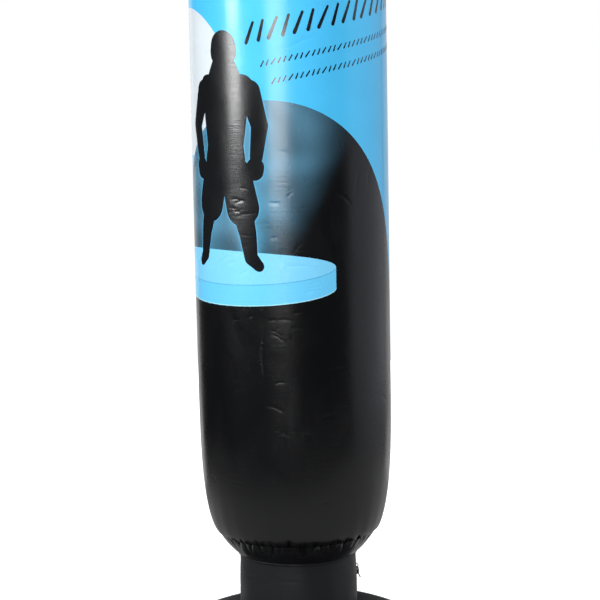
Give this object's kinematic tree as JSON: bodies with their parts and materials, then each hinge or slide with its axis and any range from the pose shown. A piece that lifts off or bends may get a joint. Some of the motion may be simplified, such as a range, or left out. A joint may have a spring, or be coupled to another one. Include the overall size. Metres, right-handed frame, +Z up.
{
  "type": "free-standing inflatable punching bag",
  "caption": "Tall inflated film punching bag on a short flexible neck and a domed water-filled base; it bends at the neck and springs upright.",
  "frame": {"origin": "middle of the base's flat foot, on the floor", "axes": "+Z up along the bag, -Y the printed front, +X the side with the air valve"},
  "size_m": [0.494, 0.494, 1.6],
  "materials": {
    "printed_film": "gloss",
    "black_film": "satin",
    "clear_vinyl": "gloss",
    "moulded_black": "matte",
    "gasket": "matte",
    "water": "gloss"
  },
  "bodies": {
    "base": {"base_bottom_disc": "black_film", "base_top_disc": "black_film", "ballast_water": "water", "neck_foot_ring": "black_film", "filler_boss": "moulded_black", "filler_leash": "moulded_black"},
    "neck": {"neck_sleeve": "black_film", "valve_body": "clear_vinyl", "valve_leash": "clear_vinyl"},
    "bag": {"neck_top_ring": "black_film", "bag_bottom_disc": "black_film", "bag_wall": "printed_film", "bag_seam_strip": "printed_film", "bag_top_disc": "printed_film"},
    "valve_flap": {"valve_flap": "clear_vinyl"},
    "valve_plug": {"valve_plug": "clear_vinyl"},
    "filler_seal": {"filler_seal": "gasket"},
    "filler_cap": {"filler_cap": "moulded_black"}
  },
  "joints": [
    {"name": "lean_sideways", "type": "hinge", "parent": "base", "child": "neck", "pos_m": [0, 0, 0.2475], "axis": [0, 1, 0], "range_deg": [-15, 15], "stiffness_Nm_per_rad": 30, "deforming": ["neck_sleeve"]},
    {"name": "lean_forwards", "type": "hinge", "parent": "neck", "child": "bag", "pos_m": [0, 0, 0.2475], "axis": [1, 0, 0], "range_deg": [-15, 15], "stiffness_Nm_per_rad": 30, "deforming": ["neck_sleeve"]},
    {"name": "flap_swing", "type": "hinge", "parent": "neck", "child": "valve_flap", "pos_m": [0.07541, 0.01603, 0.2576], "axis": [-0.2079, 0.9781, 0], "range_deg": [0, 60], "stiffness_Nm_per_rad": 0.0005},
    {"name": "plug_pull", "type": "slide", "parent": "neck", "child": "valve_plug", "axis": [0.9781, 0.2079, 0], "range_m": [0, 0.014], "deforming": ["valve_leash"]},
    {"name": "cap_lift", "type": "slide", "parent": "base", "child": "filler_seal", "axis": [0, 0.2934, 0.956], "range_m": [0, 0.008], "deforming": ["filler_leash"]},
    {"name": "cap_turn", "type": "hinge", "parent": "filler_seal", "child": "filler_cap", "pos_m": [0, 0.15, 0.18782], "axis": [0, 0.2934, 0.956], "range_deg": [0, 720]}
  ],
  "couplings": [
    {"joint": "cap_lift", "follows": "cap_turn", "m_per_rad": 0.00063661}
  ]
}
